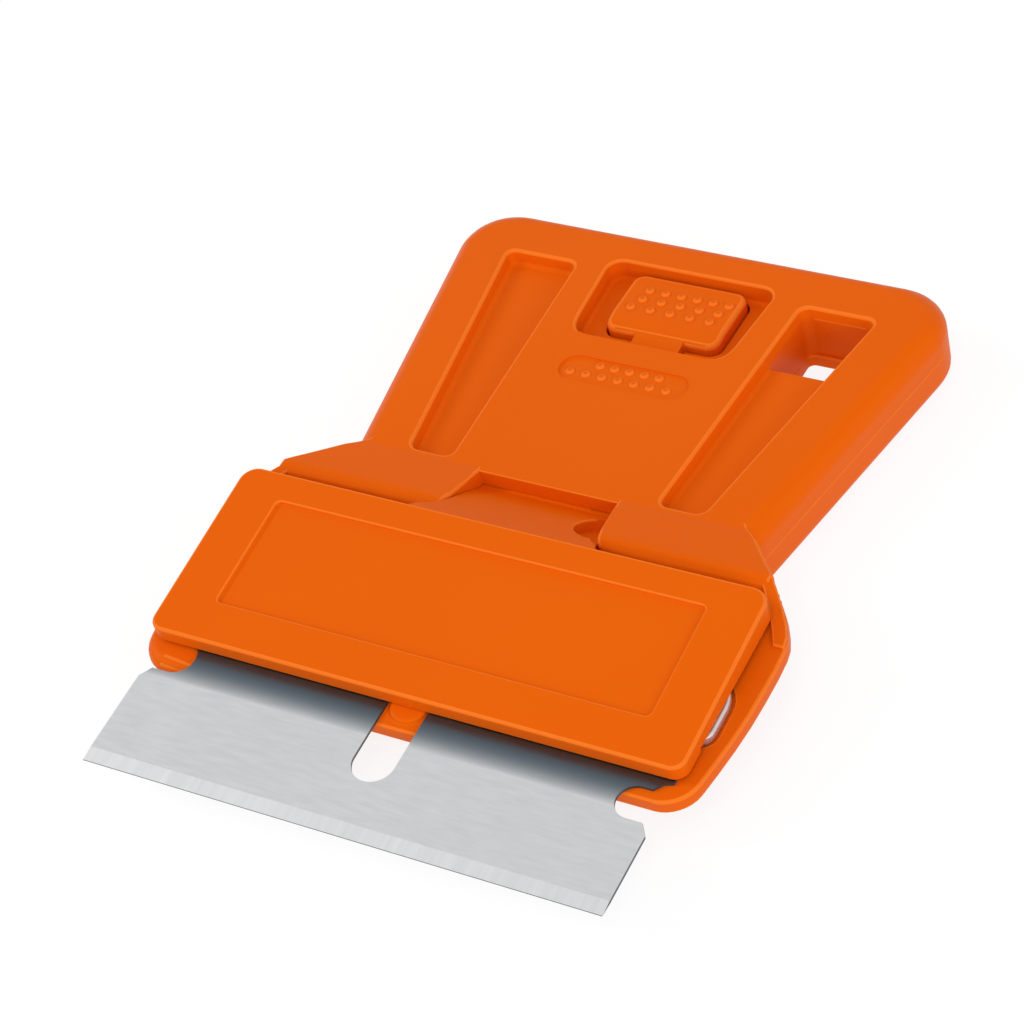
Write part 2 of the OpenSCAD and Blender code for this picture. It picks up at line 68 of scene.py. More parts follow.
JAW_SIDES = (
    (8.7, 20.6), (10.95, 21.05), (12.5, 21.3), (14.5, 21.57), (16.5, 21.76), (18.5, 21.85),
    (20.5, 21.88), (22, 21.82), (22.8, 21.68), (23.6, 21.33), (24.6, 20.75), (25.5, 20.05),
    (26.56, 19.2), (27.3, 18.5), (29, 17.0), (30.8, 15.4))
TONGUE_ROOM = (
    (24.2, 7.35, 5.6), (25.0, 7.15, 5.3), (25.6, 6.5, 4.87), (26.2, 6.2, 4.12), (26.8, 6.05, 3.55),
    (27.4, 5.95, 3.2))


def block(name, low, high):
    bpy.ops.object.select_all(action="DESELECT")
    middle = [(a + b) / 2 for a, b in zip(low, high)]
    bpy.ops.mesh.primitive_cube_add(size=1, location=middle)
    piece = bpy.context.object
    piece.name = name
    piece.scale = [b - a for a, b in zip(low, high)]
    bpy.ops.object.transform_apply(location=True, rotation=True, scale=True)
    return piece


def barrel(name, middle, radius, depth, steps=96, lying=False):
    bpy.ops.object.select_all(action="DESELECT")
    bpy.ops.mesh.primitive_cylinder_add(vertices=steps, radius=radius, depth=depth, location=middle,
                                        rotation=(0, math.pi / 2 if lying else 0, 0))
    piece = bpy.context.object
    piece.name = name
    bpy.ops.object.transform_apply(location=True, rotation=True, scale=True)
    return piece


def work_on(piece):
    bpy.ops.object.select_all(action="DESELECT")
    piece.select_set(True)
    bpy.context.view_layer.objects.active = piece


def pick(piece, kind, wanted):
    work_on(piece)
    bpy.ops.object.mode_set(mode="EDIT")
    bpy.ops.mesh.select_mode(type=kind)
    bpy.ops.mesh.select_all(action="DESELECT")
    form = bmesh.from_edit_mesh(piece.data)
    for item in {"VERT": form.verts, "EDGE": form.edges, "FACE": form.faces}[kind]:
        if wanted(item):
            item.select_set(True)
    form.select_flush_mode()
    bmesh.update_edit_mesh(piece.data)


def done():
    bpy.ops.object.mode_set(mode="OBJECT")


def shift(piece, wanted, by):
    pick(piece, "VERT", lambda v: wanted(v.co))
    bpy.ops.transform.translate(value=by)
    done()


def bevel(radius, steps):
    bpy.ops.mesh.bevel(offset=radius, segments=steps, profile=0.5, affect="EDGES", clamp_overlap=False)
    done()


def round_edges(piece, wanted, radius, steps):
    pick(piece, "EDGE", lambda e: wanted(e.verts[0].co, e.verts[1].co))
    bevel(radius, steps)


def upright(a, b):
    return abs(a.x - b.x) + abs(a.y - b.y) < TOUCH and abs(a.z - b.z) > TOUCH


def trim(piece, point, facing):
    pick(piece, "VERT", lambda v: True)
    bpy.ops.mesh.bisect(plane_co=point, plane_no=Vector(facing).normalized(), use_fill=True,
                        clear_outer=True)
    done()


def score(piece, point, facing):
    pick(piece, "VERT", lambda v: True)
    bpy.ops.mesh.bisect(plane_co=point, plane_no=facing)
    done()


def combine(piece, tool, how):
    work_on(piece)
    change = piece.modifiers.new(how, "BOOLEAN")
    change.operation = how
    change.solver = "MANIFOLD"
    change.object = tool
    bpy.ops.object.modifier_apply(modifier=change.name)
    bpy.data.objects.remove(tool)


def clean(piece):
    pick(piece, "VERT", lambda v: True)
    bpy.ops.mesh.remove_doubles(threshold=0.012)
    bpy.ops.mesh.dissolve_limited(angle_limit=math.radians(0.6))
    done()


def soften(piece, radius, steps=3, sharp=34, wanted=lambda a, b: True):
    turn = math.radians(sharp)
    pick(piece, "EDGE", lambda e: e.calc_face_angle(0) > turn and wanted(e.verts[0].co, e.verts[1].co))
    bevel(radius, steps)


# Marks the narrow convex strips of rounded edges, which the plastic paints a lighter orange as a painted
# highlight.
def mark_rims(piece):
    form = bmesh.new()
    form.from_mesh(piece.data)
    rim = form.faces.layers.float.new("rim")
    for face in form.faces:
        longest = max(e.calc_length() for e in face.edges)
        bends = [e for e in face.edges if e.calc_length() > longest / 2 and e.calc_face_angle(0) > 0.22]
        narrow = face.calc_area() / longest < 0.15
        face[rim] = float(narrow and len(bends) > 0 and all(e.is_convex for e in bends))
    form.to_mesh(piece.data)
    form.free()


def polish(piece):
    mark_rims(piece)
    work_on(piece)
    bpy.ops.object.shade_smooth()
    pick(piece, "EDGE", lambda e: e.calc_face_angle(0) > math.radians(50))
    bpy.ops.mesh.mark_sharp()
    done()
    change = piece.modifiers.new("flat faces", "WEIGHTED_NORMAL")
    change.weight = 70
    change.keep_sharp = True
    bpy.ops.object.modifier_apply(modifier=change.name)


def put(piece, turn, spot):
    work_on(piece)
    piece.rotation_euler = turn
    piece.location = spot
    bpy.ops.object.transform_apply(location=True, rotation=True, scale=True)


def tip(piece):
    put(piece, (TILT, 0, 0), (0, 0, EDGE_Z))


def seat(piece):
    piece.scale = (MM, MM, MM)
    put(piece, (0, 0, 0), (0, EDGE_Y * MM, 0))


def fit_end(piece, y, left, right, low, top):
    form = bmesh.from_edit_mesh(piece.data)
    chosen = [v.co for v in form.verts if v.select]
    wide = max(p.x for p in chosen) - min(p.x for p in chosen)
    tall = max(p.z for p in chosen) - min(p.z for p in chosen)
    centre = sum(chosen, Vector()) / len(chosen)
    bpy.ops.transform.resize(value=((right - left) / wide, 1, (top - low) / tall), center_override=centre)
    bpy.ops.transform.translate(value=(
        (left + right) / 2 - centre.x, y - centre.y, (low + top) / 2 - centre.z))


def loft(name, stations):
    y, left, right, low, top = stations[0]
    piece = block(name, (left, y, low), (right, y + TOUCH, top))
    pick(piece, "FACE", lambda f: f.normal.y > 0.5)
    fit_end(piece, *stations[1])
    for station in stations[2:]:
        bpy.ops.mesh.extrude_region_move()
        fit_end(piece, *station)
    done()
    clean(piece)
    return piece


def grip_block(name, front, back, y0, y1, z0, z1, corner):
    piece = block(name, (-front, y0, z0), (front, y1, z1))
    for side in (-1, 1):
        shift(piece, lambda p: p.y > y1 - 0.1 and p.x * side > 0, (side * (back - front), 0, 0))
    round_edges(piece, lambda a, b: upright(a, b) and a.y > y1 - 0.1, corner, 14)
    return piece


class Strand:
    def __init__(self, tree, socket):
        self.tree = tree
        self.socket = socket

    def node(self, kind, settings, inputs, out=0):
        made = self.tree.nodes.new(kind)
        for key, value in settings.items():
            setattr(made, key, value)
        for key, value in inputs.items():
            if isinstance(value, Strand):
                self.tree.links.new(value.socket, made.inputs[key])
            else:
                made.inputs[key].default_value = value
        return Strand(self.tree, made.outputs[out])

    def sum(self, how, first, second):
        return self.node("ShaderNodeMath", {"operation": how}, {0: first, 1: second})

    def __add__(self, other):
        return self.sum("ADD", self, other)

    __radd__ = __add__

    def __mul__(self, other):
        return self.sum("MULTIPLY", self, other)

    __rmul__ = __mul__


def finish_sheet(name):
    material = bpy.data.materials.new(name)
    material.use_nodes = True
    tree = material.node_tree
    shader = tree.nodes["Principled BSDF"]
    place = Strand(tree, tree.nodes.new("ShaderNodeTexCoord").outputs["Object"])
    return material, tree, shader, place


def linear(red, green, blue):
    shares = [c / 255 for c in (red, green, blue)]
    return [((c + 0.055) / 1.055) ** 2.4 if c > 0.04 else c / 12.92 for c in shares] + [1]


def feed(tree, strand, shader, socket):
    tree.links.new(strand.socket, shader.inputs[socket])


def coat(piece, *materials):
    piece.data.materials.clear()
    for material in materials:
        piece.data.materials.append(material)
    piece.data.polygons.foreach_set("material_index", [0] * len(piece.data.polygons))


def noise(place, scale, detail, rough=0.5):
    return place.node("ShaderNodeTexNoise", {},
                      {"Vector": place, "Scale": scale, "Detail": detail, "Roughness": rough})


def mix(factor, first, second):
    return factor.node("ShaderNodeMix", {"data_type": "RGBA"}, {0: factor, 6: first, 7: second}, out=2)


def bump(height, strength, distance):
    return height.node("ShaderNodeBump", {},
                       {"Height": height, "Strength": strength, "Distance": distance})


def orange_plastic(name):
    material, tree, shader, place = finish_sheet(name)
    flow = noise(place, 55.0, 3.0)
    grain = noise(place, 2600.0, 2.0)
    tint = mix(flow, linear(223, 92, 5), linear(228, 96, 7))
    rim = place.node("ShaderNodeAttribute", {"attribute_name": "rim"}, {}, out=2)
    # Painted highlight: the marked edge strips are mixed towards a lighter orange.
    feed(tree, mix(rim * 0.58, tint, linear(244, 128, 46)), shader, "Base Color")
    feed(tree, 0.33 + flow * 0.08 + grain * 0.05, shader, "Roughness")
    feed(tree, bump(grain, 0.08, 0.00003), shader, "Normal")
    shader.inputs["IOR"].default_value = 1.18
    shader.inputs["Specular Tint"].default_value = (1, 0.55, 0.1, 1)
    return material


shell_plastic = orange_plastic("shell_plastic")

lower = grip_block("lower_shell_form", *GRIP, 0, SPLIT_Z, GRIP_CORNER)
round_edges(lower, lambda a, b: max(a.z, b.z) < 0.01 and max(a.y, b.y) > 30.6, 0.9, 5)
combine(lower, grip_block("tray", *GRIP_INSIDE, INSIDE_LOW, 4, INSIDE_CORNER), "DIFFERENCE")
hang = block("hang", (9.26, 47.55, -1), (13.66, 51.95, 2))
round_edges(hang, upright, 0.5, 4)
combine(lower, hang, "DIFFERENCE")

web_point = (0, 0, EDGE_Z - WEB_DROP)
web_facing = (0, -math.sin(TILT), math.cos(TILT))
shoulder = loft("shoulder", [(y, 0.1 - x, x - 0.1, 0.015, SHOULDER_TOP) for y, x in JAW_SIDES if y > 21])
trim(shoulder, (0, 23.5, 3.7), (0, -3.7, -6))
trim(shoulder, web_point, web_facing)
heel = block("heel", (-14.5, 17, 0.03), (14.5, 31.1, SHOULDER_TOP))
trim(heel, (0, 21.5, 0), (0, -3.17, -4))
trim(heel, web_point, (0, -math.sin(TILT * 0.97), math.cos(TILT * 0.97)))
round_edges(heel, lambda a, b: max(a.z, b.z) < 0.04 and min(a.y, b.y) < 31, 0.8, 4)
combine(shoulder, heel, "UNION")
combine(shoulder, block("collar seat", (-25, 26.8, 3.1), (25, 32, CUT_TOP)), "DIFFERENCE")
combine(lower, shoulder, "UNION")


def jaw_rim(a, b):
    return min(a.z, b.z) > -0.3 and max(a.y, b.y) < JAW_BACK


jaw = loft("jaw", [(y, -x, x, JAW_LOW, -BLADE_THICK) for y, x in JAW_SIDES if y < 27])
round_edges(jaw, lambda a, b: upright(a, b) and a.y < 9, 2, 8)
round_edges(jaw, lambda a, b: jaw_rim(a, b) and max(a.x, b.x) < -18, 0.85, 6)
round_edges(jaw, lambda a, b: jaw_rim(a, b) and max(a.x, b.x) > 0, 0.2, 4)
round_edges(jaw, lambda a, b: max(a.z, b.z) < -1.4 and max(a.y, b.y) < JAW_BACK, 0.25, 3)
groove = block("groove", (-20.56, 13.42, GROOVE_FLOOR), (20.56, 19.08, 2))
round_edges(groove, lambda a, b: upright(a, b) and a.y > 19, SPINE_BACK_RADIUS, 8)
round_edges(groove, lambda a, b: upright(a, b) and a.y < 14, SPINE_FRONT_RADIUS, 6)
combine(jaw, groove, "DIFFERENCE")
nub = block("nub", (-1.4, 9.2, -0.4), (1.4, 12, 0))
round_edges(nub, lambda a, b: upright(a, b) and a.y < 9.3, 1.35, 10)
round_edges(nub, lambda a, b: min(a.z, b.z) > -0.01, 0.34, 8)
combine(jaw, nub, "UNION")
clean(jaw)
tip(jaw)
combine(lower, jaw, "UNION")
channel = block("channel", (-CHANNEL_HALF, CHANNEL_FRONT, INSIDE_LOW), (CHANNEL_HALF, 31.8, CUT_TOP))
trim(channel, (0, CHANNEL_FRONT, 4.3), (0, -2.5, -1.2))
combine(lower, channel, "DIFFERENCE")
room = loft("tongue room", [(y, -wide, wide, low, CUT_TOP) for y, wide, low in TONGUE_ROOM])
combine(lower, room, "DIFFERENCE")
bearing = barrel("bearing", PIVOT, BEARING_RADIUS, BEARING_LENGTH, BARREL_STEPS, True)
combine(lower, bearing, "DIFFERENCE")
clean(lower)
soften(lower, 0.12, 3, 34, lambda a, b: not (30.2 < min(a.y, b.y) < 31.3 and max(a.z, b.z) < 1.2))
polish(lower)
seat(lower)
coat(lower, shell_plastic)
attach(lower, "handle")
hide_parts("lower_shell")

# Razor blade: a single-edge blade stamped from thin hardened steel strip.
# Its edge is ground from both faces, and the slot and side notches locate it on the jaw.
BLADE_HALF = 19.5
BLADE_DEPTH = 18.76
GRIND_DEPTH = 1.1
GRIND_DROP = 0.11
SLOT_HALF = 1.55
SLOT_FRONT = 5.85
SPINE_FRONT = 13.5
NOTCH_X = 17.7
NOTCHES = ((1, 8.2, 1.25), (-1, 9.55, 1.4))


def mirror(piece):
    pick(piece, "VERT", lambda v: True)
    bpy.ops.transform.resize(value=(-1, 1, 1), center_override=(0, 0, 0))
    bpy.ops.mesh.normals_make_consistent(inside=False)
    done()


blade = block("blade_form", (-BLADE_HALF, 0, -BLADE_THICK), (BLADE_HALF, BLADE_DEPTH, 0))
score(blade, (0, GRIND_DEPTH, 0), (0, 1, 0))
for side in (-1, 1):
    shift(blade, lambda p: p.y < 0.1 and (p.z + BLADE_THICK / 2) * side > 0, (0, 0, side * -GRIND_DROP))
combine(blade, barrel("slot end", (0, SLOT_FRONT, 0), SLOT_HALF, 2), "DIFFERENCE")
combine(blade, block("slot", (-SLOT_HALF, SLOT_FRONT, -1), (SLOT_HALF, SPINE_FRONT, 1)), "DIFFERENCE")
for side, middle, reach in NOTCHES:
    combine(blade, barrel("notch end", (side * NOTCH_X, middle, 0), reach, 2, BARREL_STEPS), "DIFFERENCE")
    mouth = block("notch", (NOTCH_X, middle - reach, -1), (20, middle + reach, 1))
    score(mouth, (18.4, 0, 0), (1, 0, 0))
    score(mouth, (18.9, 0, 0), (1, 0, 0))
    shift(mouth, lambda p: p.x > 18.8 and p.y > middle, (0, 0.6, 0))
    shift(mouth, lambda p: p.x > 19.9, (0, 0.4, 0))
    shift(mouth, lambda p: p.x > 19.9 and p.y < middle + 0.5, (0, -2, 0))
    if side < 0:
        mirror(mouth)
    combine(blade, mouth, "DIFFERENCE")
clean(blade)
tip(blade)
seat(blade)


def blade_steel(name, dark, pale, along, across, rough, paint_cover_shade=True):
    material, tree, shader, place = finish_sheet(name)
    stretched = place.node("ShaderNodeMapping", {}, {"Vector": place, "Scale": (along, across, 1.0)})
    streak = noise(stretched, 1.0, 4.0, 0.6)
    cloud = noise(place, 140.0, 3.0)
    tint = mix(streak * 0.75 + cloud * 0.25, dark, pale)
    # Painted shade: the steel darkens to a blue-grey towards the cover's front edge, where the cover shades
    # the blade; the spine steel leaves it out.
    depth = place.node("ShaderNodeSeparateXYZ", {}, {0: place}, out=1)
    clear = place.node("ShaderNodeMath", {"operation": "SUBTRACT", "use_clamp": True},
                       {0: depth * -420.0, 1: 7.8 if paint_cover_shade else -12.0})
    shade = place.node("ShaderNodeMath", {"operation": "POWER"}, {0: clear, 1: 2.7})
    painted_cover_shade = mix(shade, linear(90, 107, 117), tint)
    # Painted shade: a thin darker line along the cutting edge.
    painted_edge_shade = place.node("ShaderNodeMath", {"operation": "LESS_THAN"}, {0: depth, 1: -0.02844})
    feed(tree, mix(painted_edge_shade, painted_cover_shade, linear(120, 123, 126)), shader, "Base Color")
    feed(tree, rough + streak * 0.16, shader, "Roughness")
    feed(tree, bump(streak, 0.12, 0.00001), shader, "Normal")
    shader.inputs["Metallic"].default_value = 1.0
    return material


coat(blade, blade_steel("blade_steel", linear(216, 218, 220), linear(244, 246, 247), 420.0, 2600.0, 0.24),
     blade_steel("ground_steel", linear(228, 229, 230), linear(252, 253, 254), 2600.0, 160.0, 0.24),
     blade_steel("side_shade_steel", linear(88, 92, 95), linear(120, 124, 127), 160.0, 160.0, 0.5))
# The blade's thin side faces, at the slot and notches too, get the darker steel as painted shade.
for face in blade.data.polygons:
    if abs(face.normal.z) < 0.6:
        face.material_index = 2
    elif face.center.y < (EDGE_Y + 1.09) * MM:
        face.material_index = 1
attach(blade, "handle")
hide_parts("razor_blade")

# Blade spine: a strip of mild steel folded over the blade's back edge and pressed flat.
# It stiffens the blade, and lies in the groove across the jaw.
SPINE_LEFT = -20.5
SPINE_RIGHT = 20.36
SPINE_BACK = 19
SHEET_THICK = 0.24

spine = block("spine_form", (SPINE_LEFT, SPINE_FRONT, -BLADE_THICK - SHEET_THICK),
              (SPINE_RIGHT, SPINE_BACK, SHEET_THICK))
round_edges(spine, lambda a, b: upright(a, b) and a.y > 18.9, SPINE_BACK_RADIUS, 8)
round_edges(spine, lambda a, b: upright(a, b) and a.y < 13.6, SPINE_FRONT_RADIUS, 6)
round_edges(spine, lambda a, b: min(a.y, b.y) > 14 and abs(a.z - b.z) < TOUCH, 0.2, 4)
combine(spine, block("blade gap", (-19.8, 13, -BLADE_THICK), (19.8, BLADE_DEPTH, 0)), "DIFFERENCE")
clean(spine)
soften(spine, 0.04, 2)
polish(spine)
tip(spine)
seat(spine)
coat(spine, blade_steel("spine_steel", linear(214, 215, 216), linear(238, 238, 239), 60.0, 2200.0, 0.42,
                        False))
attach(spine, "handle")
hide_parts("blade_spine")

# Blade clamp: the upper jaw, moulded in the same orange plastic, with a bare recessed panel on top.
# Its tongue goes back through the collar's notch to a tail under the grip, and it rocks on two
# moulded trunnions there, so that a press on the tail lifts the front off the blade.
COVER_LEFT = -20.3
COVER_RIGHT = 20.18
COVER_FRONT = 10.4
COVER_BACK = 24.7
COVER_FRONT_TOP = 1.3
COVER_BACK_TOP = 2.1
RECESS_HALF = 16.5
RECESS_DEPTH = 0.27
TONGUE_FALL = 0.55
TONGUE = (
    (23.4, 7.2, 6.1, 6.9), (23.9, 7.2, 6.0, 7.1), (24.35, 7.2, 5.9, 7.253), (25.0, 6.9, 5.6, 6.895),
    (25.6, 6.15, 5.25, 6.565), (26.2, 5.85, 4.5, 6.235), (26.8, 5.75, 3.9, 5.905), (28.6, 5.56, 2.95, 4.9),
    (30.0, 5.4, 2.9, 4.03), (30.4, 5.35, 2.9, 3.93), (30.8, 5.3, 2.9, 3.92), (31.6, 5.1, 2.9, 3.92))
BOSS_RADIUS = 1.3
TRUNNION_RADIUS = 0.9
BITE_RADIUS = 2.25
BITE_SPOT = (6.0, 28.406, 6.21)
TAIL_HALF = 3.2
TAIL_LOW = 2.9
TAIL_TOP = 3.95
TAIL_BACK = 45.25
NECK_HALF = 1.9

clamp = block("clamp_form", (COVER_LEFT, COVER_FRONT, 0.06), (COVER_RIGHT, COVER_BACK, 3))
slope = math.atan2(COVER_BACK_TOP - COVER_FRONT_TOP, COVER_BACK - COVER_FRONT)
trim(clamp, (0, COVER_FRONT, COVER_FRONT_TOP), (0, -math.sin(slope), math.cos(slope)))
round_edges(clamp, lambda a, b: upright(a, b) and a.y > 20, 1.3, 8)
round_edges(clamp, lambda a, b: upright(a, b) and a.y < 11, 1, 7)
round_edges(clamp, lambda a, b: min(a.z, b.z) > 0.5, 0.2, 4)
recess = block("recess", (-RECESS_HALF, 3.2, -RECESS_DEPTH), (RECESS_HALF, 12.05, 2))
round_edges(recess, upright, 0.4, 5)
put(recess, (slope, 0, 0), (0, COVER_FRONT, COVER_FRONT_TOP))
combine(clamp, recess, "DIFFERENCE")
combine(clamp, block("spine room", (-19.8, 13, -1), (19.8, 26, 0.65)), "DIFFERENCE")
combine(clamp, block("under walls", (-25, 13, -1), (25, 26, 0.34)), "DIFFERENCE")
clean(clamp)
tip(clamp)
tongue = loft("tongue", [(y, -wide, wide, low, top) for y, wide, low, top in TONGUE])
combine(tongue, barrel("boss", PIVOT, BOSS_RADIUS, 10, BARREL_STEPS, True), "UNION")
combine(tongue, barrel("trunnions", PIVOT, TRUNNION_RADIUS, 12.6, BARREL_STEPS, True), "UNION")
bite = barrel("bite", (0, 0, 0), BITE_RADIUS, 3.8, BARREL_STEPS)
put(bite, (-math.atan(TONGUE_FALL), 0, 0), BITE_SPOT)
combine(tongue, bite, "DIFFERENCE")
combine(clamp, tongue, "UNION")
tail = block("tail", (-TAIL_HALF, PIVOT[1], TAIL_LOW), (TAIL_HALF, TAIL_BACK, TAIL_TOP))
score(tail, (0, 41.45, 0), (0, 1, 0))
score(tail, (0, 44.05, 0), (0, 1, 0))
for side in (-1, 1):
    shift(tail, lambda p: p.y > 44 and p.x * side > 0, (side * (NECK_HALF - TAIL_HALF), 0, 0))
combine(clamp, tail, "UNION")
clean(clamp)


def worn_by_hand(a, b):
    on_cover = max(a.y, b.y) < 24.3
    on_tongue = min(a.z, b.z) > 4.4 and abs(a.x + b.x) < 11.9
    return on_cover or on_tongue


soften(clamp, 0.12, wanted=worn_by_hand)
polish(clamp)
seat(clamp)
clamp_plastic = orange_plastic("clamp_plastic")
coat(clamp, clamp_plastic)
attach(clamp, "clamp")
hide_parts("blade_clamp")

# Release button: the thumb pad at the end of the clamp's tail, on a narrow neck that bends.
# It shows through the window in the upper shell, and rows of small raised dots give it grip.
BUTTON_HALF = 4.55
BUTTON_TOP = 4.6
BUTTON_BEND = 48.95
DOT_RADIUS = 0.36
DOT_FLATNESS = 0.55
BUTTON_DOTS = ((49.55, 5, -3.3, 3.05), (50.5, 5, -2.8, 3.3), (51.5, 6, -2.7, 3.7))


def on_bend(a, b):
    return abs(a.y - b.y) < TOUCH and abs(a.y - BUTTON_BEND) < 0.1


button = block("button_form", (-BUTTON_HALF, 47.35, TAIL_LOW), (BUTTON_HALF, 53.15, BUTTON_TOP))
score(button, (0, BUTTON_BEND, 0), (0, 1, 0))
shift(button, lambda p: p.y < 47.4 and p.z > 4, (0, 0, -0.3))
round_edges(button, lambda a, b: upright(a, b) and abs(a.y - BUTTON_BEND) > 0.1, 0.9, 6)
round_edges(button, lambda a, b: min(a.z, b.z) > 4.2 and not on_bend(a, b), 0.35, 4)
neck = block("neck", (-NECK_HALF, 45.5, TAIL_LOW), (NECK_HALF, 47.6, TAIL_TOP))
shift(neck, lambda p: p.y > 47 and p.z > 3.5, (0, 0, 0.36))
combine(button, neck, "UNION")
clean(button)
soften(button, 0.1)
polish(button)


def dot(piece, x, y, z):
    bpy.ops.object.select_all(action="DESELECT")
    bpy.ops.mesh.primitive_uv_sphere_add(segments=20, ring_count=12, radius=DOT_RADIUS, location=(x, y, z))
    made = bpy.context.object
    made.scale = (1, 1, DOT_FLATNESS)
    bpy.ops.object.transform_apply(location=True, rotation=True, scale=True)
    # The dot's narrow edge strips get the painted highlight too.
    mark_rims(made)
    bpy.ops.object.shade_smooth()
    piece.select_set(True)
    bpy.context.view_layer.objects.active = piece
    bpy.ops.object.join()


def dots(piece, z, rows):
    for y, count, first, final in rows:
        for i in range(count):
            dot(piece, first + (final - first) * i / (count - 1), y, z)


dots(button, 4.62, BUTTON_DOTS)
seat(button)
coat(button, clamp_plastic)
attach(button, "button")
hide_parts("release_button")

# Upper shell: the top half of the grip, moulded in one with the collar in front of it.
# Two long pockets leave a flat panel between them, and the right pocket is open at its back.
GRIP_TOP = 5.2
CAVITY_HALF = 7
WINDOW_FRONT = 45.4
WINDOW_BEND = 47.2
WINDOW_HALF = 6.75
WINDOW_FLOOR = 3.55
POCKET_FLOOR = 4.1
POCKET_LEAN = 0.62
OBLONG_FLOOR = 5.04
COLLAR_LOW = 3.1
LEFT_LEAD = 0.1
LEFT_TUCK = 0.086
COLLAR = (
    (25.8, 7.0, 18.4, 5.0), (25.9, 6.62, 18.65, 5.38), (26.05, 6.36, 18.8, 5.66), (26.3, 6.12, 18.85, 5.85),
    (26.6, 6.0, 18.85, 5.92), (26.9, 5.92, 18.85, 5.92), (27.4, 5.8, 18.4, 5.85), (28.2, 5.7, 17.7, 5.71),
    (29.2, 5.55, 16.85, 5.53), (30.0, 5.45, 16.15, 5.39), (30.5, 5.38, 15.6, 5.26), (31.0, 5.3, 15.0, 5.19),
    (32.0, 5.2, 14.4, 5.17), (32.6, 5.2, 14.2, 4.6))
CHEEK = (
    (22, 20.9, 21.72, 4.6, 5.0), (22.8, 20.52, 21.6, 4.67, 5.14), (23.6, 20.05, 21.22, 4.74, 5.28),
    (24.6, 19.5, 20.55, 4.82, 5.46), (25.5, 18.8, 19.9, 4.8, 5.62), (26.2, 18.3, 19.35, 4.4, 5.74),
    (26.9, 17.6, 18.75, 3.6, 5.78), (27.8, 16.6, 17.8, 3.5, 5.6))
PANEL_DOTS = ((41.65, 7, -4.1, 3.55), (42.7, 5, -2.2, 2.5))


def span(side, y, inner, outer, low, top):
    return (y, min(side * inner, side * outer), max(side * inner, side * outer), low, top)


upper = grip_block("upper_shell_form", *GRIP, SPLIT_Z, GRIP_TOP, GRIP_CORNER)
round_edges(upper, lambda a, b: min(a.z, b.z) > 5 and max(a.y, b.y) > 30.6, 1.6, 7)
round_edges(upper, lambda a, b: min(a.z, b.z) > 5.19 and max(a.y, b.y) < 30.6, 0.3, 4)
for low, high in (((29.9, INSIDE_LOW), (WINDOW_FRONT, 4.2)), ((45.3, INSIDE_LOW), (54.2, 3.0))):
    combine(upper, block("cavity", (-CAVITY_HALF, *low), (CAVITY_HALF, *high)), "DIFFERENCE")
for side in (-1, 1):
    lead = LEFT_LEAD if side < 0 else 0
    tuck = LEFT_TUCK if side < 0 else 0
    collar = loft("collar", [span(side, y, inner, outer + lead * max(0, 30.5 - y), COLLAR_LOW, top)
                             for y, inner, outer, top in COLLAR])
    soften(collar, 0.24, 4, 40, lambda a, b: max(a.z, b.z) > 3.2 and not upright(a, b))
    cheek = loft("cheek", [span(side, y, inner, outer - tuck * max(0, 25.5 - y), low, top)
                           for y, inner, outer, low, top in CHEEK])
    soften(cheek, 0.12, 3, 40)
    combine(upper, collar, "UNION")
    combine(upper, cheek, "UNION")
combine(upper, block("notch back", (-6.2, 30.5, 4.0), (6.2, 32.4, 4.8)), "UNION")


def pocket(name, side, low, grow=0.0, lean=0.0):
    piece = block(name, (7.7 - grow, 30.8 - grow, low), (11.9 + grow, 52.8 + grow, 7))
    shift(piece, lambda p: p.y > 50 and p.x < 9, (1, 0, 0))
    shift(piece, lambda p: p.y > 50 and p.x > 10, (3.4, 0, 0))
    if lean:
        shift(piece, lambda p: p.z < 6 and p.x < 9.5, (lean, 0, 0))
        shift(piece, lambda p: p.z < 6 and p.x > 9.5, (-lean, 0, 0))
        shift(piece, lambda p: p.z < 6 and p.y > 50, (0, -lean, 0))
        shift(piece, lambda p: p.z < 6 and p.y < 50, (0, lean, 0))
    round_edges(piece, lambda a, b: abs(a.z - b.z) > 1, 0.7, 5)
    if side < 0:
        mirror(piece)
    return piece


combine(upper, grip_block("under", *GRIP_INSIDE, INSIDE_LOW, 3, INSIDE_CORNER), "DIFFERENCE")
wall = pocket("well wall", 1, 0.94, 0.7)
trim(wall, (0, 46.0, 0), (0, -1, 0))
trim(wall, (0, 0, 4.0), (0, 0, 1))
combine(upper, wall, "UNION")
well = pocket("well", 1, 0.5, -0.6)
trim(well, (0, 46.7, 0), (0, -1, 0))
trim(well, (0, 0, 4.5), (0, 0, 1))
for side in (-1, 1):
    shape = pocket("pocket", side, POCKET_FLOOR, 0, POCKET_LEAN)
    round_edges(shape, lambda a, b: max(a.z, b.z) < 4.11, 0.3, 4)
    combine(upper, shape, "DIFFERENCE")
combine(upper, well, "DIFFERENCE")
window = block("window", (-WINDOW_HALF, WINDOW_FRONT, WINDOW_FLOOR), (WINDOW_HALF, 53.5, 7))
score(window, (0, WINDOW_BEND, 0), (0, 1, 0))
for side in (-1, 1):
    shift(window, lambda p: p.y < 47.3 and p.x * side > 0, (side * -0.5, 0, 0))
    shift(window, lambda p: p.y < 46 and p.x * side > 0, (side * -0.35, 0, 0))
round_edges(window, lambda a, b: upright(a, b) and abs(a.y - WINDOW_BEND) > 0.1, 1.2, 7)
round_edges(window, lambda a, b: max(a.z, b.z) < 3.6, 0.3, 4)
combine(upper, window, "DIFFERENCE")
opening = block("opening", (-4.7, WINDOW_BEND, 2), (4.7, 53.3, 6))
round_edges(opening, upright, 1, 6)
combine(opening, block("neck slot", (-2.05, 44.9, 2), (2.05, 48, 6)), "UNION")
trim(opening, (0, 0, 3.7), (0, 0, 1))
